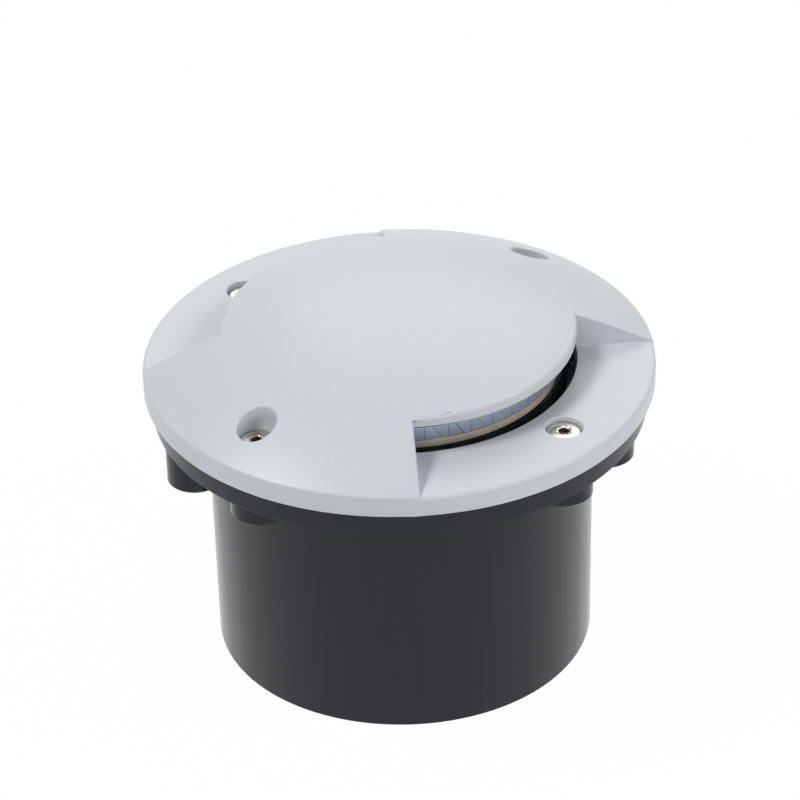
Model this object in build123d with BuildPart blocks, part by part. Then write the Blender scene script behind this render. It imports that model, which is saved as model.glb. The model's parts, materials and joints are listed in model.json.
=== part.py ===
from build123d import *
import os
from math import atan, cos, degrees, hypot, radians, sin, sqrt, tan

# An in-ground well light that can be driven over: a moulded sleeve set in the ground, a sealed lamp unit
# hung inside it, and a cast cover with two side windows screwed down on top.
# Millimetres, +Z up, origin on the axis at the sleeve's foot, a window centred on +X and on -X.

# ---- cover casting ----
dome_radius = 145.0
rim_height = 6.2
rim_rounding = 1.0
rim_facets = 3
cap_wall = 2.8
cover_wall = 3.4
window_angle = 90.0
floor_drop = 0.3
floor_fall = 0.05
floor_thickness = 2.8
lens_room_gap = 2.9
cap_step = 0.1
hub_wall = 2.8
land_width = 9.3
recess_side_wall = 2.8
recess_edge_bevel = 0.5
rib_thickness = 2.0
ribs_per_quarter = 2
rib_spread = 44.0

# ---- cover screws, M5 with low crowned heads, and what they pass ----
screw_edge_distance = 13.2
screw_count = 4
screw_diameter = 5.0
recess_screw_length = 12.0
dome_screw_length = 16.0
screw_head_diameter = 9.5
screw_head_height = 2.5
screw_head_land = 2.1
screw_socket_flats = 3.0
screw_socket_depth = 1.6
screw_hole_gap = 0.25
pocket_gap = 0.3
pocket_draft = 3.0
recess_head_top = -1.4
dome_head_top = 1.8
recess_pocket_bevel = 0.2
dome_pocket_bevel = 0.4
pillar_wall = 2.55
seal_washer_setback = 0.1
seal_washer_thickness = 0.5
insert_wall = 0.8
insert_tip_room = 0.6
screw_tip_room = 0.5

# ---- mounting sleeve, one moulding ----
sleeve_height = 82.7
sleeve_wall = 2.6
sleeve_draft = 0.3
flange_setback = 2.2
flange_depth = 7.1
flange_plate = 3.0
skirt_wall = 3.6
flange_rib_count = 16
flange_rib_thickness = 1.8
flange_rib_setback = 0.8
boss_wall = 4.9
boss_floor = 4.5
boss_foot_bevel = 0.8
anchor_boss_depth = 31.1
anchor_angle = 45.0
anchor_hole_diameter = 6.5
anchor_head_diameter = 10.4
anchor_head_depth = 5.0
anchor_wall = 0.4
ledge_depth = 6.9
cover_gasket_offset = 1.5
cover_gasket_width = 2.4
cover_gasket_thickness = 1.6
cover_gasket_stand = 0.4

# ---- lamp housing ----
housing_gasket_thickness = 0.8
housing_gasket_width = 1.3
housing_rim_reach = 1.8
housing_rim_thickness = 2.4
housing_collar_reach = 4.1
housing_collar_gap = 0.5
housing_collar_depth = 3.6
housing_wall = 3.1
housing_depth = 51.0
housing_floor = 4.0
housing_fin_count = 18
housing_fin_setback = 1.4
housing_fin_thickness = 2.0
housing_corner_bevel = 2.2
carrier_ledge_width = 4.0
carrier_ledge_drop = 1.1
carrier_ledge_depth = 3.5
carrier_boss_gap = 0.5
carrier_boss_diameter = 7.0
board_post_diameter = 5.6
board_post_height = 10.0

# ---- lens ----
lens_diameter = 94.8
lens_wall = 2.5
lens_top_thickness = 2.0
lens_height = 16.4
lens_foot_width = 1.3
lens_foot_thickness = 1.8
lens_edge_bevel = 0.9
lens_seal_thickness = 0.8
lens_seal_width = 3.2
clamp_ring_setback = 0.1
clamp_ring_cover = 0.8
clamp_screw_inset = 0.35
clamp_screw_edge = 2.7
clamp_screw_count = 4
clamp_screw_angle = 45.0
clamp_screw_diameter = 2.5
clamp_screw_length = 5.0
clamp_screw_head_diameter = 4.0
clamp_screw_head_height = 0.8

# ---- light carrier and strips ----
thermal_pad_thickness = 0.5
thermal_pad_edge = 0.4
carrier_plate = 3.0
carrier_wall = 2.0
carrier_foot_gap = 0.4
carrier_top_gap = 0.6
carrier_screw_diameter = 3.0
carrier_screw_length = 9.0
carrier_screw_head_diameter = 5.5
carrier_screw_head_height = 1.8
strip_angle = 92.0
strip_thickness = 0.4
strip_width = 2.5
strip_gap = 0.7
strip_step = 0.1
phosphor_edge = 0.15
phosphor_thickness = 0.6
reflector_thickness = 1.0
reflector_height = 4.15
lead_diameter = 1.6
lead_inset = 1.0
lead_slot_gap = 0.2
lead_hole_gap = 0.8

# ---- driver ----
board_gap = 0.9
board_screw_inset = 6.0
board_thickness = 1.6
board_screw_diameter = 2.5
board_screw_length = 7.0
board_screw_head_diameter = 4.5
board_screw_head_height = 1.6
transformer_size = (16.0, 14.0, 12.0)
transformer_place = (0.0, 12.0)
transformer_bevel = 1.0
capacitor_diameter = 8.0
capacitor_height = 14.0
capacitor_places = ((-13.0, -8.0), (-3.0, -11.0))
coil_diameter = 10.0
coil_height = 7.0
coil_place = (-16.0, 3.5)
terminal_size = (14.0, 8.5, 10.0)
terminal_place = (12.0, -11.0)
terminal_hole_diameter = 3.0
terminal_hole_depth = 6.0
terminal_pitch = 6.0

# ---- cable gland and vent ----
gland_flats = 22.0
gland_hex_height = 4.5
gland_thread_diameter = 16.0
gland_lower_diameter = 14.8
gland_nut_room = 0.5
gland_bore_diameter = 9.6
gland_locknut_height = 3.5
gland_nut_flats = 20.0
gland_nut_length = 11.0
gland_nut_throat = 3.0
gland_nut_taper = 14.0
gland_nut_gap = 1.0
gland_thread_end = 1.0
gland_throat_diameter = 9.0
gland_seal_diameter = 11.8
gland_seal_bore = 8.2
gland_seal_length = 8.4
vent_circle = 60.0
vent_angle = 30.0
vent_flats = 12.0
vent_head_height = 2.5
vent_thread_diameter = 6.0

# ---- clearances ----
slip = 0.05
running_gap = 0.3
hub_gap = 0.4
overlap = 1.0

# ---- radii, from the lens outwards: they bring the cover to 145 mm across and the sleeve to 110 mm ----
lens_radius = lens_diameter / 2
lens_foot_radius = lens_radius + lens_foot_width
clamp_circle_radius = lens_foot_radius + running_gap + clamp_screw_inset + clamp_screw_diameter / 2
clamp_ring_radius = clamp_circle_radius + clamp_screw_edge
housing_rim_radius = clamp_ring_radius + clamp_ring_setback
housing_collar_radius = housing_rim_radius - housing_rim_reach
housing_fin_radius = housing_collar_radius - housing_fin_setback
housing_radius = housing_collar_radius - housing_collar_reach
housing_bore_radius = housing_radius - housing_wall
ledge_radius = housing_rim_radius + running_gap
sleeve_bore_radius = housing_collar_radius + housing_collar_gap
sleeve_foot_radius = sleeve_bore_radius + sleeve_wall
screw_circle_radius = ledge_radius + anchor_wall + anchor_head_diameter / 2
gasket_middle_radius = screw_circle_radius + anchor_head_diameter / 2 + cover_gasket_offset
cover_radius = screw_circle_radius + screw_edge_distance
land_radius = cover_radius - land_width
flange_radius = cover_radius - flange_setback
window_bore_radius = lens_radius + lens_room_gap
cap_radius = window_bore_radius - cap_step
hub_radius = window_bore_radius + hub_wall
reach = 2 * cover_radius

# ---- radii of what lies round each screw, and inside the lamp unit ----
screw_hole_radius = screw_diameter / 2 + screw_hole_gap
insert_radius = screw_diameter / 2 + insert_wall
boss_radius = insert_radius + boss_wall
pocket_radius = screw_head_diameter / 2 + pocket_gap
pillar_radius = pocket_radius + pillar_wall
seal_washer_radius = screw_head_diameter / 2 - seal_washer_setback
band_thickness = max(strip_thickness + phosphor_thickness, reflector_thickness)
carrier_radius = lens_radius - lens_wall - strip_gap - band_thickness
strip_radius = carrier_radius + strip_thickness
carrier_foot_radius = housing_bore_radius - carrier_foot_gap
carrier_boss_radius = housing_bore_radius - carrier_ledge_width - carrier_boss_gap - carrier_boss_diameter / 2
board_radius = carrier_boss_radius - carrier_boss_diameter / 2 - board_gap
board_post_radius = board_radius - board_screw_inset
lead_radius = board_radius - lead_inset
lead_slot = lead_diameter + 2 * lead_slot_gap
half_window = window_angle / 2

# ---- heights, from the sleeve's foot up ----
flange_top_z = sleeve_height
seat_z = flange_top_z + cover_gasket_stand
rim_top_z = seat_z + rim_height
dome_centre_z = rim_top_z - sqrt(dome_radius**2 - cover_radius**2)
floor_inner_z = rim_top_z - floor_drop
floor_outer_z = floor_inner_z - floor_fall
floor_under_z = floor_inner_z - floor_thickness
recess_seat_z = rim_top_z + recess_head_top - screw_head_height
dome_seat_z = rim_top_z + dome_head_top - screw_head_height
recess_pocket_z = recess_seat_z - seal_washer_thickness
dome_pocket_z = dome_seat_z - seal_washer_thickness
screw_tip_z = min(recess_seat_z - recess_screw_length, dome_seat_z - dome_screw_length)
insert_top_z = flange_top_z - slip
insert_bottom_z = screw_tip_z - insert_tip_room
boss_foot_z = insert_bottom_z - boss_floor
ledge_z = flange_top_z - ledge_depth
housing_rim_z = ledge_z + housing_gasket_thickness
housing_top_z = housing_rim_z + housing_rim_thickness
housing_bottom_z = housing_top_z - housing_depth
housing_floor_z = housing_bottom_z + housing_floor
lens_foot_z = housing_top_z + lens_seal_thickness
lens_foot_top_z = lens_foot_z + lens_foot_thickness
lens_top_z = lens_foot_z + lens_height
clamp_top_z = lens_foot_top_z + clamp_ring_cover
hub_bottom_z = clamp_top_z + clamp_screw_head_height + hub_gap
carrier_ledge_z = housing_rim_z - carrier_ledge_drop
carrier_z = carrier_ledge_z + thermal_pad_thickness
carrier_plate_top_z = carrier_z + carrier_plate
carrier_top_z = lens_top_z - lens_top_thickness - carrier_top_gap
strip_top_z = carrier_top_z - reflector_height - strip_step
strip_middle_z = strip_top_z - strip_width / 2
board_z = housing_floor_z + board_post_height
board_top_z = board_z + board_thickness


def dome_z(radius, inset=0.0):
    """Height of the dome, or of the shell `inset` below it, at a distance from the axis."""
    return dome_centre_z + sqrt((dome_radius - inset) ** 2 - radius**2)


def sleeve_radius(z):
    """Outside radius of the tapered sleeve at a height."""
    return sleeve_foot_radius + z * tan(radians(sleeve_draft))


def sphere_under(radius):
    """Sphere about the dome's centre, its poles along X so that they lie off the dome."""
    with BuildPart(mode=Mode.PRIVATE) as ball:
        with Locations((0, 0, dome_centre_z)):
            Sphere(radius, rotation=(0, 90, 0))
    return ball.part


def rim_points(centre_z, top_angle):
    """Outline of the cover's rounded rim, from its upright side to a tangent point at top_angle."""
    angles = [radians(top_angle) * step / rim_facets for step in range(rim_facets + 1)]
    return [
        (cover_radius - rim_rounding * (1 - cos(angle)), centre_z + rim_rounding * sin(angle))
        for angle in angles
    ]


def is_cap_or_wall_top(edge):
    """Whether an edge is the top of the cap's lip or of a recess's side wall."""
    middle = edge @ 0.5
    radius = hypot(middle.X, middle.Y)
    on_dome = abs(middle.Z - dome_z(min(radius, cover_radius))) < 0.01
    return on_dome and cap_radius - 0.01 < radius < cover_radius - 2 * rim_rounding


def is_pocket_mouth(edge):
    """Whether an edge is where a screw pocket opens, through the dome or a recess's floor."""
    middle = edge @ 0.5
    along, across = max(abs(middle.X), abs(middle.Y)), min(abs(middle.X), abs(middle.Y))
    height = middle.Z - (recess_pocket_z if abs(middle.X) > abs(middle.Y) else dome_pocket_z)
    mouth_radius = pocket_radius + height * tan(radians(pocket_draft))
    offset = hypot(along - screw_circle_radius, across) - mouth_radius
    return height > screw_head_height / 2 and abs(offset) < 0.01


def wedge_points(apex_shift):
    """Triangle that covers one window's quarter, its sides moved out by a shift of its apex."""
    far = reach * 2
    spread = far * tan(radians(half_window))
    return (-apex_shift, 0), (far - apex_shift, -spread), (far - apex_shift, spread)


# ============================ cover casting ============================

# What the two windows take out of the dome, outside the cap's edge.
with BuildPart() as window_cut:
    with BuildSketch(Plane.XY.offset(seat_z - overlap)):
        with BuildLine():
            Polyline(*wedge_points(0), close=True)
        make_face()
        mirror(about=Plane.YZ)
        Circle(cap_radius, mode=Mode.SUBTRACT)
    extrude(amount=reach)

# The hollow under the cover between hub and rim: it follows the dome in the solid quarters and stays
# under the floor in the window quarters, and leaves the ribs and the screw pillars standing.
with BuildPart() as under_hollow:
    with BuildSketch(Plane.XY.offset(seat_z - overlap)):
        Circle(land_radius)
        Circle(hub_radius, mode=Mode.SUBTRACT)
    extrude(amount=reach)
    add(sphere_under(dome_radius - cover_wall), mode=Mode.INTERSECT)
    with BuildSketch(Plane.XY.offset(floor_under_z)):
        with BuildLine():
            Polyline(*wedge_points(recess_side_wall / sin(radians(half_window))), close=True)
        make_face()
        mirror(about=Plane.YZ)
    extrude(amount=reach, mode=Mode.SUBTRACT)
    rib_angles = [
        quarter * 90 + (index - (ribs_per_quarter - 1) / 2) * rib_spread / max(ribs_per_quarter - 1, 1)
        for quarter in range(4)
        for index in range(ribs_per_quarter)
    ]
    for rib_angle in rib_angles:
        with BuildSketch(Plane.XY.offset(hub_bottom_z)):
            with PolarLocations((hub_radius + land_radius) / 2, 1, start_angle=rib_angle):
                Rectangle(land_radius - hub_radius + 2 * overlap, rib_thickness)
        extrude(amount=reach, mode=Mode.SUBTRACT)
    with BuildSketch(Plane.XY.offset(seat_z)):
        with PolarLocations(screw_circle_radius, screw_count):
            Circle(pillar_radius)
    extrude(amount=reach, mode=Mode.SUBTRACT)

# Room for the lens under the cap, and the step that clears the lamp unit's clamp ring.
clamp_room_radius = clamp_ring_radius + 2 * running_gap
with BuildPart() as lens_room:
    with BuildSketch(Plane.XY.offset(seat_z - overlap)):
        Circle(window_bore_radius)
    extrude(amount=reach)
    add(sphere_under(dome_radius - cap_wall), mode=Mode.INTERSECT)
    with BuildSketch(Plane.XY.offset(seat_z - overlap)):
        Circle(clamp_room_radius)
    extrude(amount=hub_bottom_z - seat_z + overlap)

floor_slope = degrees(atan(floor_fall / (cover_radius - window_bore_radius)))
floor_rim_z = floor_outer_z + rim_rounding * (tan(radians(floor_slope)) - 1 / cos(radians(floor_slope)))
dome_rim_z = dome_centre_z + sqrt((dome_radius - rim_rounding) ** 2 - (cover_radius - rim_rounding) ** 2)
dome_rim_angle = degrees(atan((dome_rim_z - dome_centre_z) / (cover_radius - rim_rounding)))

with BuildPart() as cover:
    # Domed body with its rounded rim, and the window quarters cut away outside the cap.
    dome_rim = rim_points(dome_rim_z, dome_rim_angle)
    with BuildSketch(Plane.XZ):
        with BuildLine():
            Polyline(
                (0, seat_z),
                (cover_radius, seat_z),
                *dome_rim,
                (dome_rim[-1][0], dome_z(0) + overlap),
                (0, dome_z(0) + overlap),
                close=True,
            )
        make_face()
    revolve(axis=Axis.Z)
    add(sphere_under(dome_radius), mode=Mode.INTERSECT)
    add(window_cut.part, mode=Mode.SUBTRACT)
    chamfer(edges().filter_by(is_cap_or_wall_top), length=recess_edge_bevel)
    # Floor of the two recesses, falling a little towards the rim.
    with BuildSketch(Plane.XZ):
        with BuildLine():
            Polyline(
                (0, seat_z),
                (cover_radius, seat_z),
                *rim_points(floor_rim_z, 90 - floor_slope),
                (window_bore_radius, floor_inner_z),
                (0, floor_inner_z),
                close=True,
            )
        make_face()
    revolve(axis=Axis.Z)
    add(lens_room.part, mode=Mode.SUBTRACT)
    add(under_hollow.part, mode=Mode.SUBTRACT)
    # Drafted pockets for the screw heads, through dome or floor, and the screws' clearance holes.
    for pocket_z, start_angle in ((recess_pocket_z, 0), (dome_pocket_z, 90)):
        pocket_height = dome_z(0) - pocket_z
        with PolarLocations(screw_circle_radius, screw_count // 2, start_angle=start_angle):
            with Locations((0, 0, pocket_z)):
                Cone(
                    pocket_radius,
                    pocket_radius + pocket_height * tan(radians(pocket_draft)),
                    pocket_height,
                    align=(Align.CENTER, Align.CENTER, Align.MIN),
                    mode=Mode.SUBTRACT,
                )
                Cylinder(
                    screw_hole_radius,
                    pocket_z - seat_z + overlap,
                    align=(Align.CENTER, Align.CENTER, Align.MAX),
                    mode=Mode.SUBTRACT,
                )
    mouths = edges().filter_by(is_pocket_mouth)
    chamfer(mouths.filter_by(lambda mouth: mouth.center().Z > rim_top_z), length=dome_pocket_bevel)
    chamfer(mouths.filter_by(lambda mouth: mouth.center().Z < rim_top_z), length=recess_pocket_bevel)
cover.part.label = "cover"
os.makedirs("parts", exist_ok=True)
export_step(cover.part, "parts/cover.step")


# ============================ cover screws ============================

crown_rise = screw_head_height - screw_head_land
crown_radius = ((screw_head_diameter / 2) ** 2 + crown_rise**2) / (2 * crown_rise)


def low_head_screw(length):
    """M5 screw with a low crowned head that seats at height 0."""
    with BuildPart(mode=Mode.PRIVATE) as screw:
        with BuildSketch(Plane.XZ):
            with BuildLine():
                Polyline(
                    (0, screw_head_height),
                    (0, -length),
                    (screw_diameter / 2, -length),
                    (screw_diameter / 2, 0),
                    (screw_head_diameter / 2, 0),
                    (screw_head_diameter / 2, screw_head_land),
                )
                RadiusArc((screw_head_diameter / 2, screw_head_land), (0, screw_head_height), -crown_radius)
            make_face()
        revolve(axis=Axis.Z)
        with BuildSketch(Plane.XY.offset(screw_head_height)):
            RegularPolygon(screw_socket_flats / 2, 6, major_radius=False)
        extrude(amount=-screw_socket_depth, mode=Mode.SUBTRACT)
    return screw.part


with BuildPart() as recess_screws:
    with PolarLocations(screw_circle_radius, screw_count // 2):
        with Locations((0, 0, recess_seat_z)):
            add(low_head_screw(recess_screw_length))
recess_screws.part.label = "recess_screws"
export_step(recess_screws.part, "parts/recess_screws.step")

with BuildPart() as dome_screws:
    with PolarLocations(screw_circle_radius, screw_count // 2, start_angle=90):
        with Locations((0, 0, dome_seat_z)):
            add(low_head_screw(dome_screw_length))
dome_screws.part.label = "dome_screws"
export_step(dome_screws.part, "parts/dome_screws.step")

with BuildPart() as screw_seals:
    for pocket_z, start_angle in ((recess_pocket_z, 0), (dome_pocket_z, 90)):
        with BuildSketch(Plane.XY.offset(pocket_z)):
            with PolarLocations(screw_circle_radius, screw_count // 2, start_angle=start_angle):
                Circle(seal_washer_radius)
                Circle(screw_diameter / 2 + slip, mode=Mode.SUBTRACT)
        extrude(amount=seal_washer_thickness)
screw_seals.part.label = "screw_seals"
export_step(screw_seals.part, "parts/screw_seals.step")

with BuildPart() as threaded_inserts:
    with BuildSketch(Plane.XY.offset(insert_bottom_z)):
        with PolarLocations(screw_circle_radius, screw_count):
            RegularPolygon(insert_radius - slip, 6, major_radius=False)
            Circle(screw_diameter / 2 + slip, mode=Mode.SUBTRACT)
    extrude(amount=insert_top_z - insert_bottom_z)
threaded_inserts.part.label = "threaded_inserts"
export_step(threaded_inserts.part, "parts/threaded_inserts.step")


# ============================ mounting sleeve ============================

skirt_bore_radius = flange_radius - skirt_wall
flange_foot_z = flange_top_z - flange_depth
plate_under_z = flange_top_z - flange_plate
anchor_foot_z = flange_top_z - anchor_boss_depth

with BuildPart() as mounting_sleeve:
    # Tube with its draft, and the flange's plate and skirt.
    with BuildSketch(Plane.XZ):
        Polygon(
            (0, 0),
            (sleeve_radius(0), 0),
            (sleeve_radius(flange_top_z), flange_top_z),
            (0, flange_top_z),
            align=None,
        )
    revolve(axis=Axis.Z)
    with BuildSketch(Plane.XY.offset(flange_foot_z)):
        Circle(flange_radius)
        Circle(skirt_bore_radius, mode=Mode.SUBTRACT)
    extrude(amount=flange_depth)
    with BuildSketch(Plane.XY.offset(plate_under_z)):
        Circle(flange_radius)
    extrude(amount=flange_plate)
    # Ribs between tube and skirt.
    rib_inner_radius = sleeve_radius(flange_foot_z) - overlap
    rib_outer_radius = skirt_bore_radius + overlap
    with BuildSketch(Plane.XY.offset(flange_foot_z + flange_rib_setback)):
        with PolarLocations(
            (rib_inner_radius + rib_outer_radius) / 2,
            flange_rib_count,
            start_angle=180 / flange_rib_count,
        ):
            Rectangle(rib_outer_radius - rib_inner_radius, flange_rib_thickness)
    extrude(until=Until.NEXT)
    # Bosses for the cover screws and, a quarter turn from the front, for the anchor screws.
    with BuildSketch(Plane.XY.offset(boss_foot_z)):
        with PolarLocations(screw_circle_radius, screw_count):
            Circle(boss_radius)
    extrude(amount=flange_top_z - boss_foot_z)
    with BuildSketch(Plane.XY.offset(anchor_foot_z)):
        with PolarLocations(screw_circle_radius, 2, start_angle=anchor_angle):
            Circle(boss_radius)
    extrude(amount=anchor_boss_depth)
    round_edges = edges().filter_by(GeomType.CIRCLE).filter_by(lambda edge: (edge @ 0).Z < boss_foot_z + 0.01)
    boss_feet = round_edges.filter_by(lambda edge: abs(edge.radius - boss_radius) < 0.01)
    chamfer(boss_feet, length=boss_foot_bevel)
    # Bore of the tube, and the ledge that carries the lamp unit.
    with BuildSketch(Plane.XZ):
        Polygon(
            (0, -overlap),
            (sleeve_bore_radius, -overlap),
            (sleeve_bore_radius, ledge_z),
            (ledge_radius, ledge_z),
            (ledge_radius, flange_top_z + overlap),
            (0, flange_top_z + overlap),
            align=None,
        )
    revolve(axis=Axis.Z, mode=Mode.SUBTRACT)
    # Gasket groove.
    groove_depth = cover_gasket_thickness - cover_gasket_stand
    with BuildSketch(Plane.XY.offset(flange_top_z - groove_depth)):
        Circle(gasket_middle_radius + cover_gasket_width / 2)
        Circle(gasket_middle_radius - cover_gasket_width / 2, mode=Mode.SUBTRACT)
    extrude(amount=groove_depth + overlap, mode=Mode.SUBTRACT)
    # Holes: seats for the inserts, and the anchor screws' way through.
    with BuildSketch(Plane.XY.offset(insert_bottom_z)):
        with PolarLocations(screw_circle_radius, screw_count):
            RegularPolygon(insert_radius, 6, major_radius=False)
    extrude(amount=reach, mode=Mode.SUBTRACT)
    with Locations((0, 0, flange_top_z)):
        with PolarLocations(screw_circle_radius, 2, start_angle=anchor_angle):
            CounterBoreHole(
                anchor_hole_diameter / 2,
                anchor_head_diameter / 2,
                anchor_head_depth,
                depth=anchor_boss_depth + overlap,
            )
mounting_sleeve.part.label = "mounting_sleeve"
export_step(mounting_sleeve.part, "parts/mounting_sleeve.step")

with BuildPart() as cover_gasket:
    with BuildSketch(Plane.XY.offset(seat_z - cover_gasket_thickness)):
        Circle(gasket_middle_radius + cover_gasket_width / 2 - slip)
        Circle(gasket_middle_radius - cover_gasket_width / 2 + slip, mode=Mode.SUBTRACT)
    extrude(amount=cover_gasket_thickness)
cover_gasket.part.label = "cover_gasket"
export_step(cover_gasket.part, "parts/cover_gasket.step")

with BuildPart() as housing_gasket:
    with BuildSketch(Plane.XY.offset(ledge_z)):
        Circle(ledge_radius - slip)
        Circle(ledge_radius - slip - housing_gasket_width, mode=Mode.SUBTRACT)
    extrude(amount=housing_gasket_thickness)
housing_gasket.part.label = "housing_gasket"
export_step(housing_gasket.part, "parts/housing_gasket.step")


# ============================ lamp housing ============================

collar_z = housing_rim_z - housing_collar_depth
fin_foot_z = housing_bottom_z + housing_corner_bevel + overlap
clamp_tip_z = clamp_top_z - clamp_screw_length
carrier_tip_z = carrier_plate_top_z - carrier_screw_length
board_tip_z = board_top_z - board_screw_length
vent_radius = vent_circle / 2

with BuildPart() as lamp_housing:
    # Cup with its collar and rim.
    with BuildSketch(Plane.XZ):
        with BuildLine():
            Polyline(
                (0, housing_bottom_z),
                (housing_radius, housing_bottom_z),
                (housing_radius, collar_z),
                (housing_collar_radius, collar_z),
                (housing_collar_radius, housing_rim_z),
                (housing_rim_radius, housing_rim_z),
                (housing_rim_radius, housing_top_z),
                (housing_bore_radius, housing_top_z),
                (housing_bore_radius, carrier_ledge_z),
                (housing_bore_radius - carrier_ledge_width, carrier_ledge_z),
                (housing_bore_radius - carrier_ledge_width, carrier_ledge_z - carrier_ledge_depth),
                (housing_bore_radius, carrier_ledge_z - carrier_ledge_depth - carrier_ledge_width),
                (housing_bore_radius, housing_floor_z),
                (0, housing_floor_z),
                close=True,
            )
        make_face()
    revolve(axis=Axis.Z)
    bottom_edge = edges().filter_by(GeomType.CIRCLE).filter_by_position(
        Axis.Z, housing_bottom_z - 0.01, housing_bottom_z + 0.01
    )
    chamfer(bottom_edge, length=housing_corner_bevel)
    # Fins down the outside, from the collar to above the bevelled corner.
    fin_inner_radius = housing_radius - overlap
    with BuildSketch(Plane.XY.offset(fin_foot_z)):
        with PolarLocations((fin_inner_radius + housing_fin_radius) / 2, housing_fin_count):
            Rectangle(housing_fin_radius - fin_inner_radius, housing_fin_thickness)
    extrude(amount=collar_z - fin_foot_z)
    # Bosses for the light carrier's screws, and posts for the driver board.
    with BuildSketch(Plane.XY.offset(housing_floor_z - overlap)):
        with PolarLocations(carrier_boss_radius, 3, start_angle=90):
            Circle(carrier_boss_diameter / 2)
    extrude(amount=carrier_z - housing_floor_z + overlap)
    with BuildSketch(Plane.XY.offset(housing_floor_z - overlap)):
        with PolarLocations(board_post_radius, 3, start_angle=30):
            Circle(board_post_diameter / 2)
    extrude(amount=board_post_height + overlap)
    # Screw holes, then the gland's and the vent's holes through the floor.
    with BuildSketch(Plane.XY.offset(clamp_tip_z - screw_tip_room)):
        with PolarLocations(clamp_circle_radius, clamp_screw_count, start_angle=clamp_screw_angle):
            Circle(clamp_screw_diameter / 2 + slip)
    extrude(amount=reach, mode=Mode.SUBTRACT)
    with BuildSketch(Plane.XY.offset(carrier_tip_z - screw_tip_room)):
        with PolarLocations(carrier_boss_radius, 3, start_angle=90):
            Circle(carrier_screw_diameter / 2 + slip)
    extrude(amount=carrier_screw_length, mode=Mode.SUBTRACT)
    with BuildSketch(Plane.XY.offset(board_tip_z - screw_tip_room)):
        with PolarLocations(board_post_radius, 3, start_angle=30):
            Circle(board_screw_diameter / 2 + slip)
    extrude(amount=board_screw_length, mode=Mode.SUBTRACT)
    with BuildSketch(Plane.XY.offset(housing_bottom_z - overlap)):
        Circle(gland_thread_diameter / 2 + slip)
        with PolarLocations(vent_radius, 1, start_angle=vent_angle):
            Circle(vent_thread_diameter / 2 + slip)
    extrude(amount=housing_floor + 2 * overlap, mode=Mode.SUBTRACT)
lamp_housing.part.label = "lamp_housing"
export_step(lamp_housing.part, "parts/lamp_housing.step")


# ============================ lens and its clamp ============================

with BuildPart() as lens_seal:
    with BuildSketch(Plane.XY.offset(housing_top_z)):
        Circle(lens_foot_radius)
        Circle(lens_foot_radius - lens_seal_width, mode=Mode.SUBTRACT)
    extrude(amount=lens_seal_thickness)
lens_seal.part.label = "lens_seal"
export_step(lens_seal.part, "parts/lens_seal.step")

with BuildPart() as lens_drum:
    with BuildSketch(Plane.XZ):
        with BuildLine():
            Polyline(
                (0, lens_top_z - lens_top_thickness),
                (lens_radius - lens_wall, lens_top_z - lens_top_thickness),
                (lens_radius - lens_wall, lens_foot_z),
                (lens_foot_radius, lens_foot_z),
                (lens_foot_radius, lens_foot_top_z),
                (lens_radius, lens_foot_top_z),
                (lens_radius, lens_top_z),
                (0, lens_top_z),
                close=True,
            )
        make_face()
    revolve(axis=Axis.Z)
    top_edges = edges().filter_by_position(Axis.Z, lens_top_z - 0.01, lens_top_z + 0.01)
    chamfer(top_edges.filter_by(GeomType.CIRCLE), length=lens_edge_bevel)
lens_drum.part.label = "lens_drum"
export_step(lens_drum.part, "parts/lens_drum.step")

with BuildPart() as lens_clamp_ring:
    with BuildSketch(Plane.XZ):
        with BuildLine():
            Polyline(
                (lens_radius + running_gap, lens_foot_top_z),
                (lens_foot_radius + running_gap, lens_foot_top_z),
                (lens_foot_radius + running_gap, housing_top_z),
                (clamp_ring_radius, housing_top_z),
                (clamp_ring_radius, clamp_top_z),
                (lens_radius + running_gap, clamp_top_z),
                close=True,
            )
        make_face()
    revolve(axis=Axis.Z)
    with BuildSketch(Plane.XY.offset(housing_top_z - overlap)):
        with PolarLocations(clamp_circle_radius, clamp_screw_count, start_angle=clamp_screw_angle):
            Circle(clamp_screw_diameter / 2 + 2 * slip)
    extrude(amount=reach, mode=Mode.SUBTRACT)
lens_clamp_ring.part.label = "lens_clamp_ring"
export_step(lens_clamp_ring.part, "parts/lens_clamp_ring.step")

with BuildPart() as clamp_screws:
    with BuildSketch(Plane.XY.offset(clamp_tip_z)):
        with PolarLocations(clamp_circle_radius, clamp_screw_count, start_angle=clamp_screw_angle):
            Circle(clamp_screw_diameter / 2)
    extrude(amount=clamp_screw_length)
    with BuildSketch(Plane.XY.offset(clamp_top_z)):
        with PolarLocations(clamp_circle_radius, clamp_screw_count, start_angle=clamp_screw_angle):
            Circle(clamp_screw_head_diameter / 2)
    extrude(amount=clamp_screw_head_height)
clamp_screws.part.label = "clamp_screws"
export_step(clamp_screws.part, "parts/clamp_screws.step")


# ============================ light carrier and strips ============================

with BuildPart() as thermal_pad:
    with BuildSketch(Plane.XY.offset(carrier_ledge_z)):
        Circle(housing_bore_radius - thermal_pad_edge)
        Circle(housing_bore_radius - carrier_ledge_width + thermal_pad_edge, mode=Mode.SUBTRACT)
    extrude(amount=thermal_pad_thickness)
thermal_pad.part.label = "thermal_pad"
export_step(thermal_pad.part, "parts/thermal_pad.step")

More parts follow.
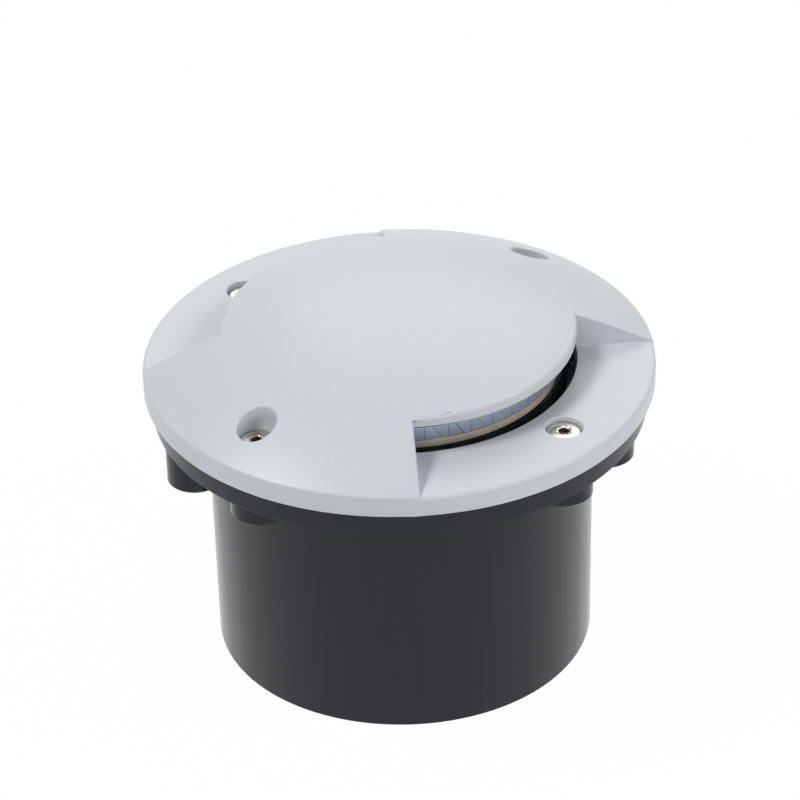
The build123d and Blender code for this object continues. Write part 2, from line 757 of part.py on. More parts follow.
with BuildPart() as light_carrier:
    # Plate with an upstanding wall, open at the top.
    with BuildSketch(Plane.XZ):
        with BuildLine():
            Polyline(
                (0, carrier_z),
                (carrier_foot_radius, carrier_z),
                (carrier_foot_radius, carrier_plate_top_z),
                (carrier_radius, carrier_plate_top_z),
                (carrier_radius, carrier_top_z),
                (carrier_radius - carrier_wall, carrier_top_z),
                (carrier_radius - carrier_wall, carrier_plate_top_z),
                (0, carrier_plate_top_z),
                close=True,
            )
        make_face()
    revolve(axis=Axis.Z)
    with BuildSketch(Plane.XY.offset(carrier_z - overlap)):
        with PolarLocations(carrier_boss_radius, 3, start_angle=90):
            Circle(carrier_screw_diameter / 2 + 2 * slip)
        with PolarLocations(lead_radius, 2):
            Circle(lead_diameter / 2 + lead_hole_gap)
    extrude(amount=carrier_plate + 2 * overlap, mode=Mode.SUBTRACT)
    # Slots behind the strips for the leads.
    with BuildSketch(Plane.YZ):
        with Locations((0, strip_middle_z)):
            Rectangle(lead_slot, lead_slot)
    extrude(amount=reach, both=True, mode=Mode.SUBTRACT)
light_carrier.part.label = "light_carrier"
export_step(light_carrier.part, "parts/light_carrier.step")

with BuildPart() as carrier_screws:
    with BuildSketch(Plane.XY.offset(carrier_tip_z)):
        with PolarLocations(carrier_boss_radius, 3, start_angle=90):
            Circle(carrier_screw_diameter / 2)
    extrude(amount=carrier_screw_length)
    with BuildSketch(Plane.XY.offset(carrier_plate_top_z)):
        with PolarLocations(carrier_boss_radius, 3, start_angle=90):
            Circle(carrier_screw_head_diameter / 2)
    extrude(amount=carrier_screw_head_height)
carrier_screws.part.label = "carrier_screws"
export_step(carrier_screws.part, "parts/carrier_screws.step")


def band(inner_radius, outer_radius, low_z, height, middle_angle):
    """Part of a ring between two radii, as wide as the strips' angle and centred on one angle."""
    start = Plane.XZ.rotated((0, 0, middle_angle - strip_angle / 2))
    with BuildPart() as piece:
        with BuildSketch(start):
            with Locations(((inner_radius + outer_radius) / 2, low_z + height / 2)):
                Rectangle(outer_radius - inner_radius, height)
        revolve(axis=Axis.Z, revolution_arc=strip_angle)
    return piece


strip_low_z = strip_top_z - strip_width
phosphor_width = strip_width - 2 * phosphor_edge
phosphor_low_z = strip_middle_z - phosphor_width / 2
light_strip_right = band(carrier_radius, strip_radius, strip_low_z, strip_width, 0)
light_strip_right.part.label = "light_strip_right"
export_step(light_strip_right.part, "parts/light_strip_right.step")
light_strip_left = band(carrier_radius, strip_radius, strip_low_z, strip_width, 180)
light_strip_left.part.label = "light_strip_left"
export_step(light_strip_left.part, "parts/light_strip_left.step")
phosphor_right = band(strip_radius, strip_radius + phosphor_thickness, phosphor_low_z, phosphor_width, 0)
phosphor_right.part.label = "phosphor_right"
export_step(phosphor_right.part, "parts/phosphor_right.step")
phosphor_left = band(strip_radius, strip_radius + phosphor_thickness, phosphor_low_z, phosphor_width, 180)
phosphor_left.part.label = "phosphor_left"
export_step(phosphor_left.part, "parts/phosphor_left.step")

with BuildPart() as reflector_ring:
    with BuildSketch(Plane.XY.offset(carrier_top_z - reflector_height)):
        Circle(carrier_radius + reflector_thickness)
        Circle(carrier_radius + slip, mode=Mode.SUBTRACT)
    extrude(amount=reflector_height)
reflector_ring.part.label = "reflector_ring"
export_step(reflector_ring.part, "parts/reflector_ring.step")

with BuildPart() as strip_leads:
    for side in (1, -1):
        with BuildLine() as lead_path:
            Polyline(
                (side * lead_radius, 0, board_top_z),
                (side * lead_radius, 0, strip_middle_z),
                (side * carrier_radius, 0, strip_middle_z),
            )
        with BuildSketch(Plane((side * lead_radius, 0, board_top_z))):
            Circle(lead_diameter / 2)
        sweep(path=lead_path.line, transition=Transition.RIGHT)
strip_leads.part.label = "strip_leads"
export_step(strip_leads.part, "parts/strip_leads.step")


# ============================ driver ============================

with BuildPart() as driver_board:
    with BuildSketch(Plane.XY.offset(board_z)):
        Circle(board_radius)
        with PolarLocations(board_post_radius, 3, start_angle=30):
            Circle(board_screw_diameter / 2 + 2 * slip, mode=Mode.SUBTRACT)
    extrude(amount=board_thickness)
driver_board.part.label = "driver_board"
export_step(driver_board.part, "parts/driver_board.step")

with BuildPart() as board_screws:
    with BuildSketch(Plane.XY.offset(board_tip_z)):
        with PolarLocations(board_post_radius, 3, start_angle=30):
            Circle(board_screw_diameter / 2)
    extrude(amount=board_screw_length)
    with BuildSketch(Plane.XY.offset(board_top_z)):
        with PolarLocations(board_post_radius, 3, start_angle=30):
            Circle(board_screw_head_diameter / 2)
    extrude(amount=board_screw_head_height)
board_screws.part.label = "board_screws"
export_step(board_screws.part, "parts/board_screws.step")

with BuildPart() as driver_components:
    with Locations((*transformer_place, board_top_z)):
        Box(*transformer_size, align=(Align.CENTER, Align.CENTER, Align.MIN))
    chamfer(edges().filter_by(Axis.Z), length=transformer_bevel)
    with BuildSketch(Plane.XY.offset(board_top_z)):
        with Locations(*capacitor_places):
            Circle(capacitor_diameter / 2)
    extrude(amount=capacitor_height)
    with BuildSketch(Plane.XY.offset(board_top_z)):
        with Locations(coil_place):
            Circle(coil_diameter / 2)
    extrude(amount=coil_height)
driver_components.part.label = "driver_components"
export_step(driver_components.part, "parts/driver_components.step")

with BuildPart() as terminal_block:
    with Locations((*terminal_place, board_top_z)):
        Box(*terminal_size, align=(Align.CENTER, Align.CENTER, Align.MIN))
    with Locations((terminal_place[0], terminal_place[1], board_top_z + terminal_size[2])):
        with GridLocations(terminal_pitch, 0, 2, 1):
            Hole(terminal_hole_diameter / 2, depth=terminal_hole_depth)
terminal_block.part.label = "terminal_block"
export_step(terminal_block.part, "parts/terminal_block.step")


# ============================ cable gland and vent ============================

gland_hex_z = housing_bottom_z - gland_hex_height
gland_nut_top_z = gland_hex_z - gland_nut_gap
gland_nut_z = gland_nut_top_z - gland_nut_length
gland_seal_z = gland_nut_z + gland_nut_throat
gland_lower_z = gland_seal_z + gland_nut_room
gland_top_z = housing_floor_z + gland_locknut_height + gland_thread_end

with BuildPart() as gland_body:
    with BuildSketch(Plane.XY.offset(gland_hex_z)):
        RegularPolygon(gland_flats / 2, 6, major_radius=False)
    extrude(amount=gland_hex_height)
    with BuildSketch(Plane.XY.offset(gland_hex_z)):
        Circle(gland_thread_diameter / 2)
    extrude(amount=gland_top_z - gland_hex_z)
    with BuildSketch(Plane.XY.offset(gland_lower_z)):
        Circle(gland_lower_diameter / 2)
    extrude(amount=gland_hex_z - gland_lower_z)
    with BuildSketch(Plane.XY.offset(gland_lower_z)):
        Circle(gland_bore_diameter / 2)
    extrude(amount=gland_top_z - gland_lower_z, mode=Mode.SUBTRACT)
    with BuildSketch(Plane.XY.offset(gland_lower_z)):
        Circle(gland_seal_diameter / 2 + slip)
    extrude(amount=gland_seal_z + gland_seal_length - gland_lower_z, mode=Mode.SUBTRACT)
gland_body.part.label = "gland_body"
export_step(gland_body.part, "parts/gland_body.step")

with BuildPart() as gland_locknut:
    with BuildSketch(Plane.XY.offset(housing_floor_z)):
        RegularPolygon(gland_flats / 2, 6, major_radius=False)
        Circle(gland_thread_diameter / 2 + slip, mode=Mode.SUBTRACT)
    extrude(amount=gland_locknut_height)
gland_locknut.part.label = "gland_locknut"
export_step(gland_locknut.part, "parts/gland_locknut.step")

with BuildPart() as gland_nut:
    with BuildSketch(Plane.XY.offset(gland_nut_z)):
        RegularPolygon(gland_nut_flats / 2, 6, major_radius=False)
    extrude(amount=gland_nut_length)
    with BuildSketch(Plane.XY.offset(gland_nut_z)):
        Circle(gland_nut_flats / 2)
    extrude(amount=gland_nut_length, mode=Mode.INTERSECT, taper=-gland_nut_taper)
    with BuildSketch(Plane.XY.offset(gland_nut_z - overlap)):
        Circle(gland_throat_diameter / 2)
    extrude(amount=gland_nut_length + 2 * overlap, mode=Mode.SUBTRACT)
    with BuildSketch(Plane.XY.offset(gland_seal_z)):
        Circle(gland_lower_diameter / 2 + slip)
    extrude(amount=gland_nut_length, mode=Mode.SUBTRACT)
gland_nut.part.label = "gland_nut"
export_step(gland_nut.part, "parts/gland_nut.step")

with BuildPart() as gland_seal:
    with BuildSketch(Plane.XY.offset(gland_seal_z)):
        Circle(gland_seal_diameter / 2)
        Circle(gland_seal_bore / 2, mode=Mode.SUBTRACT)
    extrude(amount=gland_seal_length)
gland_seal.part.label = "gland_seal"
export_step(gland_seal.part, "parts/gland_seal.step")

with BuildPart() as pressure_vent:
    with BuildSketch(Plane.XY.offset(housing_bottom_z - vent_head_height)):
        with PolarLocations(vent_radius, 1, start_angle=vent_angle):
            RegularPolygon(vent_flats / 2, 6, major_radius=False)
    extrude(amount=vent_head_height)
    with BuildSketch(Plane.XY.offset(housing_bottom_z)):
        with PolarLocations(vent_radius, 1, start_angle=vent_angle):
            Circle(vent_thread_diameter / 2)
    extrude(amount=housing_floor)
pressure_vent.part.label = "pressure_vent"
export_step(pressure_vent.part, "parts/pressure_vent.step")
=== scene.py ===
import math

import bmesh
import bpy
from mathutils import Matrix, Vector
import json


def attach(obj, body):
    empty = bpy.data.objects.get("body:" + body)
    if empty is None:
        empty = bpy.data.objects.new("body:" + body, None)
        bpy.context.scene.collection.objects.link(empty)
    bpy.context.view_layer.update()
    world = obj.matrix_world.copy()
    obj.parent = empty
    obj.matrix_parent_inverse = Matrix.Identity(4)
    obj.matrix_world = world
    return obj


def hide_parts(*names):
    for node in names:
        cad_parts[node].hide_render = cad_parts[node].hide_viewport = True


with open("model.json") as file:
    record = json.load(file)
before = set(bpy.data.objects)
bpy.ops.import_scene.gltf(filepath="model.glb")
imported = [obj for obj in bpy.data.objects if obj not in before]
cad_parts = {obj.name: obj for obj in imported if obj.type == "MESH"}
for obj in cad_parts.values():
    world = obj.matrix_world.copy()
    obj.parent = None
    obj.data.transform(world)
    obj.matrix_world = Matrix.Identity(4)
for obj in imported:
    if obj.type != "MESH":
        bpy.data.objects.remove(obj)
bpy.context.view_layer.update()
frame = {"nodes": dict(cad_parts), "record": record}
scene = bpy.context.scene
mm = 0.001

# ---- sizes that several pieces share, in millimetres ----
cover_radius = 72.5
dome_radius = 145.0
rim_top_z = 89.3
dome_centre_z = rim_top_z - math.sqrt(dome_radius**2 - cover_radius**2)
pocket_floor_z = 84.5
screw_circle_radius = 59.3
recess_head_top = 87.9
dome_head_top = 91.1
screw_head_height = 2.5
flange_foot_z = 72.0
reflector_facets = 42

# ---- camera, in degrees and millimetres ----
camera_bearing = -48.8
camera_rise = 31.48
camera_dip = 0.744
camera_roll = -1.367
camera_distance = 977.9
focal_length = 155.62
sensor_width = 36.0

# ---- light: name, bearing from the camera's side, height, distance, width, depth, power ----
floor_glow = 0.985
lamps_aim_z = 60.0
sky_strength = 0.25
lamps = (
    ("key_light", -82, 57, 1.3, 0.35, 0.35, 8.0),
    ("right_light", 78, 42, 1.3, 0.4, 0.4, 4.6),
    ("back_light", 172, 42, 1.5, 1.2, 1.0, 4.9),
    ("front_light", 16, 4, 1.5, 1.0, 0.4, 5.9),
)


# ============================ camera ============================


def place_camera():
    """Stands the camera where the photograph was taken from."""
    bearing, rise = math.radians(camera_bearing), math.radians(camera_rise)
    tilt, roll = math.radians(camera_rise + camera_dip), math.radians(camera_roll)
    around = Vector((math.cos(bearing), math.sin(bearing), 0))
    height = rim_top_z + camera_distance * math.sin(rise)
    position = around * camera_distance * math.cos(rise) + Vector((0, 0, height))
    forward = -around * math.cos(tilt) - Vector((0, 0, math.sin(tilt)))
    level = forward.cross(Vector((0, 0, 1))).normalized()
    upright = level.cross(forward)
    right = level * math.cos(roll) + upright * math.sin(roll)
    up = upright * math.cos(roll) - level * math.sin(roll)
    data = bpy.data.cameras.new("photo_camera")
    data.sensor_width, data.lens = sensor_width, focal_length
    data.clip_start, data.clip_end = 0.05, 20.0
    camera = bpy.data.objects.new("photo_camera", data)
    scene.collection.objects.link(camera)
    facing = Matrix([[right[i], up[i], -forward[i]] for i in range(3)]).to_4x4()
    camera.matrix_world = Matrix.Translation(position * mm) @ facing
    scene.camera = camera


# ============================ finishes ============================


def find_socket(sockets, key):
    """A socket by its identifier, or else by its name."""
    for socket in sockets:
        if socket.identifier == key:
            return socket
    return sockets[key]


class Wire:
    """An output socket that takes part in sums; each operator adds its Math node."""

    def __init__(self, finish, socket):
        self.finish = finish
        self.socket = socket

    def math(self, operation, *values):
        sockets = dict(zip(("Value", "Value_001"), values))
        return self.finish.add("ShaderNodeMath", {"operation": operation}, sockets)

    def __add__(self, other):
        return self.math("ADD", self, other)

    def __radd__(self, other):
        return self.math("ADD", other, self)

    def __sub__(self, other):
        return self.math("SUBTRACT", self, other)

    def __rsub__(self, other):
        return self.math("SUBTRACT", other, self)

    def __mul__(self, other):
        return self.math("MULTIPLY", self, other)

    def __pow__(self, other):
        return self.math("POWER", self, other)

    def __mod__(self, other):
        return self.math("FLOORED_MODULO", self, other)

    def __gt__(self, other):
        return self.math("GREATER_THAN", self, other)

    def __lt__(self, other):
        return self.math("LESS_THAN", self, other)

    def __abs__(self):
        return self.math("ABSOLUTE", self)

    def sine(self):
        return self.math("SINE", self)

    def whole(self):
        return self.math("FLOOR", self)

    def turn_from(self, other):
        return self.math("ARCTAN2", self, other)

    def least(self, other):
        return self.math("MINIMUM", self, other)


class Finish:
    """A material, or the world, under construction. Every node comes from add()."""

    def __init__(self, name, home=None, **constants):
        self.home = home or bpy.data.materials.new(name)
        self.home.use_nodes = True
        self.tree = self.home.node_tree
        self.nodes = self.tree.nodes
        if home:
            return
        self.surface = self.nodes["Principled BSDF"]
        self.place = self.add("ShaderNodeTexCoord", output="Object")
        self.set(**constants)

    def plug(self, socket, value):
        if isinstance(value, Wire):
            self.tree.links.new(value.socket, socket)
        elif isinstance(value, tuple) and len(value) == 3 and socket.type == "RGBA":
            socket.default_value = (*value, 1.0)
        else:
            socket.default_value = value

    def add(self, kind, settings=None, sockets=None, output=0):
        """Adds a node: its settings first, then its sockets' values or links; returns one output."""
        node = self.nodes.new(kind)
        for key, value in (settings or {}).items():
            setattr(node, key, value)
        for key, value in (sockets or {}).items():
            self.plug(find_socket(node.inputs, key), value)
        chosen = node.outputs[output] if isinstance(output, int) else find_socket(node.outputs, output)
        return Wire(self, chosen)

    def noise(self, size, detail=2.0, roughness=0.5, place=None):
        """Noise whose features are about `size` millimetres across."""
        sockets = {
            "Vector": place or self.place,
            "Scale": 1 / (size * mm),
            "Detail": detail,
            "Roughness": roughness,
        }
        return self.add("ShaderNodeTexNoise", None, sockets, "Fac")

    def cells(self, size, **settings):
        """Distance from the middles of cells of about `size` millimetres."""
        sockets = {"Vector": self.place, "Scale": 1 / (size * mm)}
        return self.add("ShaderNodeTexVoronoi", settings, sockets, "Distance")

    def axis(self, name):
        """One of the Object coordinates."""
        return self.add("ShaderNodeSeparateXYZ", None, {"Vector": self.place}, name)

    def band(self, value, low, high, to_low=0.0, to_high=1.0):
        """Value moved from one range to another, smoothly and without overshoot."""
        sockets = {"Value": value, "From Min": low, "From Max": high}
        sockets |= {"To Min": to_low, "To Max": to_high}
        return self.add("ShaderNodeMapRange", {"interpolation_type": "SMOOTHSTEP"}, sockets)

    def blend(self, factor, first, second):
        """Mix of two colours."""
        sockets = {"Factor_Float": factor, "A_Color": first, "B_Color": second}
        return self.add("ShaderNodeMix", {"data_type": "RGBA"}, sockets, "Result_Color")

    def stretched(self, x, y, z):
        """Object coordinates scaled along each axis."""
        return self.add("ShaderNodeMapping", None, {"Vector": self.place, "Scale": (x, y, z)})

    def bumped(self, height, depth, strength=0.4):
        """Normal of a surface raised by `height` times `depth` millimetres."""
        sockets = {"Height": height, "Distance": depth * mm, "Strength": strength}
        return self.add("ShaderNodeBump", None, sockets, "Normal")

    def set(self, **values):
        """Sets or links inputs of the surface, and returns the material."""
        for key, value in values.items():
            label = key.replace("_", " ").title().replace("Ior", "IOR")
            self.plug(self.surface.inputs[label], value)
        return self.home


def powder_coat():
    """Fine-textured pale grey powder coat."""
    coat = Finish("powder_coat", ior=1.48)
    grain = coat.noise(0.32, detail=3.0, roughness=0.6)
    pebble = coat.cells(0.55, feature="SMOOTH_F1")
    flow = coat.noise(18.0, detail=2.0)
    tone = coat.band(grain * 0.7 + pebble * 0.3, 0.2, 0.7)
    colour = coat.blend(tone, (0.585, 0.607, 0.627), (0.625, 0.648, 0.668))
    colour = coat.blend(coat.band(flow, 0.3, 0.7) * 0.25, colour, (0.60, 0.617, 0.635))
    roughness = coat.band(grain, 0.3, 0.7, 0.3, 0.4)
    height = grain * 0.6 + pebble * 0.5 + flow * 1.2
    normal = coat.bumped(height, 0.022, 0.5)
    return coat.set(base_color=colour, roughness=roughness, normal=normal)


def dark_moulding():
    """Satin near-black plastic with the faint waviness of a thick moulding."""
    shell = Finish("dark_moulding", ior=1.45, specular_tint=(0.90, 0.90, 1.0))
    speck = shell.noise(0.3, detail=2.0)
    wave = shell.noise(28.0, detail=1.0)
    streak = shell.noise(3.0, detail=3.0, place=shell.stretched(1.0, 1.0, 0.08))
    streaked = shell.band(streak, 0.3, 0.7)
    colour = shell.blend(streaked, (0.003, 0.0018, 0.0052), (0.0048, 0.0032, 0.0072))
    upper = shell.band(shell.axis("Z"), (flange_foot_z - 12) * mm, flange_foot_z * mm)
    colour = shell.blend(upper, colour, (0.0008, 0.0034, 0.0085))
    roughness = shell.band(speck * 0.5 + streak * 0.5, 0.3, 0.7, 0.14, 0.2)
    normal = shell.bumped(speck * 0.1 + wave * 1.6 + streak * 0.25, 0.03, 0.5)
    return shell.set(base_color=colour, roughness=roughness, normal=normal)


def lacquer(name, base):
    """Dark lacquer on cast or turned metal."""
    coat = Finish(name)
    grain = coat.noise(0.5, detail=4.0, roughness=0.65)
    colour = coat.blend(coat.band(coat.noise(7.0), 0.3, 0.7), base, tuple(v * 1.6 for v in base))
    roughness = coat.band(grain, 0.3, 0.7, 0.42, 0.58)
    return coat.set(base_color=colour, roughness=roughness, normal=coat.bumped(grain, 0.04, 0.5))


def stainless():
    """Bright stainless steel with fine turning marks and small stains."""
    steel = Finish("stainless", metallic=1.0)
    marks = steel.noise(0.12, detail=3.0, place=steel.stretched(0.3, 0.3, 1.6))
    stain = steel.noise(1.8, detail=3.0)
    colour = steel.blend(steel.band(stain, 0.35, 0.7), (0.66, 0.65, 0.63), (0.56, 0.53, 0.49))
    roughness = steel.band(marks, 0.3, 0.7, 0.2, 0.34)
    return steel.set(base_color=colour, roughness=roughness, normal=steel.bumped(marks, 0.006))


def screw_steel():
    """Blasted stainless steel of the four cover screws with random brownish stains, painted dark brown shade
    in the sockets, and painted dark reflections on the crown round them.
    """
    steel = Finish("screw_steel", metallic=1.0)
    grain = steel.noise(0.2, detail=3.0)
    stain = steel.noise(1.6, detail=3.0)
    x, y, z = abs(steel.axis("X")), abs(steel.axis("Y")), steel.axis("Z")
    reach = screw_circle_radius * mm
    along, across = ((x - reach) ** 2 + y * y) ** 0.5, (x * x + (y - reach) ** 2) ** 0.5
    from_axis = along.least(across)
    top = recess_head_top * mm + (y > x) * ((dome_head_top - recess_head_top) * mm)
    from_top = z - top
    # Painted shade: the lower part of each hexagon socket is coloured dark brown.
    inside = 1 - steel.band(from_axis, 1.6 * mm, 2.1 * mm)
    socket = inside * (1 - steel.band(from_top, -1.0 * mm, -0.4 * mm))
    # Painted dark reflections: a brown mottle on the crown round each socket and on the socket's upper
    # walls.
    on_crown = 1 - steel.band(from_axis, 1.8 * mm, 3.8 * mm)
    near = on_crown * steel.band(from_top, -2.2 * mm, -1.2 * mm)
    painted_dark_reflection = near * steel.band(steel.noise(1.1), 0.46, 0.56)
    colour = steel.blend(steel.band(stain, 0.4, 0.7), (0.80, 0.79, 0.78), (0.62, 0.57, 0.53))
    # Painted dark reflections laid over the stained steel.
    colour = steel.blend(painted_dark_reflection * 0.8, colour, (0.20, 0.15, 0.12))
    # Painted shade laid over the sockets.
    colour = steel.blend(socket * 0.85, colour, (0.12, 0.075, 0.05))
    roughness = steel.band(grain + stain * 0.4, 0.4, 1.0, 0.22, 0.4)
    return steel.set(base_color=colour, roughness=roughness, normal=steel.bumped(grain, 0.008))


def brass():
    """Yellow brass, a little dulled."""
    metal = Finish("turned_brass", metallic=1.0)
    marks = metal.noise(0.2, place=metal.stretched(0.3, 0.3, 2.0))
    dull = metal.band(metal.noise(2.4, detail=3.0), 0.35, 0.7)
    colour = metal.blend(dull, (0.72, 0.51, 0.22), (0.47, 0.32, 0.14))
    return metal.set(base_color=colour, roughness=metal.band(marks, 0.3, 0.7, 0.24, 0.42))


def rubber():
    """Matt black silicone rubber with a dusty bloom."""
    seal = Finish("black_rubber")
    bloom = seal.noise(3.0, detail=4.0)
    dusty = seal.band(bloom, 0.4, 0.75)
    colour = seal.blend(dusty, (0.012, 0.012, 0.0125), (0.0304, 0.0304, 0.0315))
    roughness = seal.band(bloom, 0.3, 0.7, 0.6, 0.78)
    normal = seal.bumped(seal.noise(0.25), 0.02)
    return seal.set(base_color=colour, roughness=roughness, normal=normal)


def clear_lens():
    """Clear lens with a faint cool tint."""
    lens = Finish("clear_lens", transmission_weight=1.0, ior=1.49)
    haze = lens.noise(9.0)
    speck = lens.noise(0.6, detail=1.0)
    colour = lens.blend(lens.band(haze, 0.3, 0.7), (0.93, 0.955, 0.98), (0.965, 0.98, 0.995))
    roughness = lens.band(haze * 0.7 + speck * 0.3, 0.35, 0.65, 0.03, 0.08)
    return lens.set(base_color=colour, roughness=roughness)


def thermal_pad():
    """Soft grey heat-conducting sheet with a woven backing."""
    pad = Finish("thermal_pad")
    radians_per_metre = 5200
    x, y = pad.axis("X") * radians_per_metre, pad.axis("Y") * radians_per_metre
    weave = x.sine() * y.sine()
    grain = pad.noise(0.4)
    colour = pad.blend(pad.band(grain, 0.3, 0.7), (0.25, 0.27, 0.3), (0.33, 0.35, 0.38))
    roughness = pad.band(grain, 0.3, 0.7, 0.7, 0.85)
    return pad.set(base_color=colour, roughness=roughness, normal=pad.bumped(weave, 0.02))


def dark_anodised():
    """Anodised aluminium, dark, with turning marks."""
    metal = Finish("dark_anodised", metallic=0.85)
    marks = metal.noise(0.25, detail=3.0, place=metal.stretched(0.25, 0.25, 2.0))
    blotch = metal.band(metal.noise(6.0), 0.3, 0.7)
    colour = metal.blend(blotch, (0.09, 0.095, 0.105), (0.13, 0.135, 0.15))
    roughness = metal.band(marks, 0.3, 0.7, 0.32, 0.5)
    return metal.set(base_color=colour, roughness=roughness, normal=metal.bumped(marks, 0.01))


def rolled_reflector():
    """Bright grey aluminium in slanting facets of uneven tone, tinted blue-grey as a painted reflection of a
    cool sky.
    """
    metal = Finish("rolled_reflector", metallic=0.45)
    slant = 90
    turn = metal.axis("Y").turn_from(metal.axis("X"))
    place = turn * (reflector_facets / (2 * math.pi)) + metal.axis("Z") * slant
    across = place % 1.0
    tone = metal.add("ShaderNodeTexWhiteNoise", {"noise_dimensions": "1D"}, {"W": place.whole()}, "Value")
    seam = metal.band(abs(across - 0.5), 0.42, 0.49) * metal.band(tone, 0.75, 0.35) * 0.7
    roll = metal.noise(0.4, detail=3.0, place=metal.stretched(0.35, 0.35, 3.0))
    # Painted reflection: the blue tint over the grey metal stands for a cool sky mirrored in it.
    colour = metal.blend(tone * 0.7 + roll * 0.3, (0.50, 0.58, 0.72), (0.66, 0.74, 0.90))
    colour = metal.blend(seam, colour, (0.12, 0.14, 0.2))
    roughness = metal.band(roll, 0.3, 0.7, 0.28, 0.4)
    normal = metal.bumped(across * 3.0 + roll * 0.1, 0.05)
    return metal.set(base_color=colour, roughness=roughness, normal=normal)


def strip_film():
    """Near-black film of the flexible strip; its dark colour also stands for painted shade round the
    phosphor.
    """
    film = Finish("strip_film")
    grain = film.noise(0.6)
    # Painted shade in part: the film is kept near-black so that the band round the phosphor reads dark.
    colour = film.blend(film.band(grain, 0.3, 0.7), (0.015, 0.015, 0.016), (0.022, 0.022, 0.023))
    return film.set(base_color=colour, roughness=film.band(grain, 0.3, 0.7, 0.35, 0.5))


def phosphor():
    """Tan phosphor silicone, slightly uneven."""
    gel = Finish("phosphor_silicone")
    cloud = gel.noise(4.0, detail=3.0)
    colour = gel.blend(gel.band(cloud, 0.3, 0.7), (0.84, 0.70, 0.52), (0.98, 0.86, 0.67))
    roughness = gel.band(gel.noise(0.25), 0.3, 0.7, 0.4, 0.55)
    return gel.set(base_color=colour, roughness=roughness, normal=gel.bumped(cloud, 0.05))


def sheath():
    """Red lead sheath."""
    skin = Finish("lead_sheath")
    grain = skin.noise(0.8)
    colour = skin.blend(skin.band(grain, 0.3, 0.7), (0.42, 0.02, 0.015), (0.52, 0.035, 0.025))
    return skin.set(base_color=colour, roughness=skin.band(grain, 0.3, 0.7, 0.4, 0.5))


def circuit_board():
    """Green solder mask over copper tracks."""
    board = Finish("circuit_board", coat_weight=0.3)
    fields = board.cells(4.0, feature="F1", distance="MANHATTAN")
    tracks = abs((fields * 9.0) % 1.0 - 0.5) < 0.16
    grain = board.noise(1.0)
    green = board.blend(board.band(grain, 0.3, 0.7), (0.012, 0.095, 0.035), (0.016, 0.12, 0.045))
    colour = board.blend(tracks * 0.5, green, (0.04, 0.2, 0.075))
    roughness = board.band(grain, 0.3, 0.7, 0.3, 0.42)
    return board.set(base_color=colour, roughness=roughness, normal=board.bumped(tracks, 0.03))


def moulded(name, dark, light):
    """Plain moulded plastic with a spark-eroded texture."""
    shell = Finish(name)
    grain = shell.noise(0.5, detail=3.0)
    colour = shell.blend(shell.band(shell.noise(5.0), 0.3, 0.7), dark, light)
    roughness = shell.band(grain, 0.3, 0.7, 0.4, 0.55)
    return shell.set(base_color=colour, roughness=roughness, normal=shell.bumped(grain, 0.03))


# ============================ stage and light ============================


def seen_white(finish):
    """1 for the rays that should meet a white background: the eye's, and those through gloss or glass."""
    kinds = ("Is Camera Ray", "Is Glossy Ray", "Is Transmission Ray")
    eye, gloss, glass = (finish.add("ShaderNodeLightPath", output=kind) for kind in kinds)
    return (eye + gloss + glass).least(1.0)


def make_stage():
    """Pale floor that keeps a soft shadow, and a white surround for the eye, for gloss and for glass."""
    span = 6.0
    corners = [(-span, -span, 0), (span, -span, 0), (span, span, 0), (-span, span, 0)]
    mesh = bpy.data.meshes.new("floor")
    mesh.from_pydata(corners, [], [(0, 1, 2, 3)])
    floor = bpy.data.objects.new("floor", mesh)
    scene.collection.objects.link(floor)
    paint = Finish("floor_paint", base_color=(0.82, 0.82, 0.82), roughness=0.9)
    glow = paint.add("ShaderNodeEmission", None, {"Color": (1.0, 1.0, 1.0), "Strength": 1.0})
    matt = Wire(paint, paint.surface.outputs[0])
    sockets = {"Fac": seen_white(paint) * floor_glow, "Shader": matt, "Shader_001": glow}
    mixed = paint.add("ShaderNodeMixShader", None, sockets)
    paint.plug(paint.nodes["Material Output"].inputs["Surface"], mixed)
    mesh.materials.append(paint.home)

    scene.world = bpy.data.worlds.new("surround")
    air = Finish("surround", home=scene.world)
    sky = air.add("ShaderNodeBackground", None, {"Color": (0.87, 0.95, 1.06), "Strength": sky_strength})
    white = air.add("ShaderNodeBackground", None, {"Color": (1.0, 1.0, 1.0), "Strength": 1.0})
    sockets = {"Fac": seen_white(air), "Shader": sky, "Shader_001": white}
    mixed = air.add("ShaderNodeMixShader", None, sockets)
    air.plug(air.nodes["World Output"].inputs["Surface"], mixed)


def add_lamp(name, bearing, height, distance, width, depth, power):
    """Soft rectangular lamp that faces the object; the bearing is measured from the camera's side."""
    data = bpy.data.lights.new(name, "AREA")
    data.shape = "RECTANGLE"
    data.size, data.size_y = width, depth
    data.energy = power
    lamp = bpy.data.objects.new(name, data)
    scene.collection.objects.link(lamp)
    angle, rise = math.radians(camera_bearing + bearing), math.radians(height)
    reach = math.cos(rise)
    away = Vector((math.cos(angle) * reach, math.sin(angle) * reach, math.sin(rise)))
    lamp.location = Vector((0, 0, lamps_aim_z * mm)) + away * distance
    lamp.rotation_mode = "QUATERNION"
    lamp.rotation_quaternion = away.to_track_quat("Z", "Y")


# ============================ pieces ============================


def use(finish, *nodes):
    """Gives CAD nodes a finish."""
    for name in nodes:
        mesh = frame["nodes"][name].data
        mesh.materials.clear()
        mesh.materials.append(finish)


def settle(piece):
    """Turns a piece's modifiers into plain mesh."""
    graph = bpy.context.evaluated_depsgraph_get()
    mesh = bpy.data.meshes.new_from_object(piece.evaluated_get(graph))
    piece.modifiers.clear()
    old = piece.data
    piece.data = mesh
    mesh.name = piece.name
    bpy.data.meshes.remove(old)


def fit_out(piece, node):
    """Lets a piece stand for a CAD node, on its body, with the node hidden."""
    homes = {name: body for body, names in frame["record"]["behaviour"]["bodies"].items() for name in names}
    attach(piece, homes[node])
    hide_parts(node)


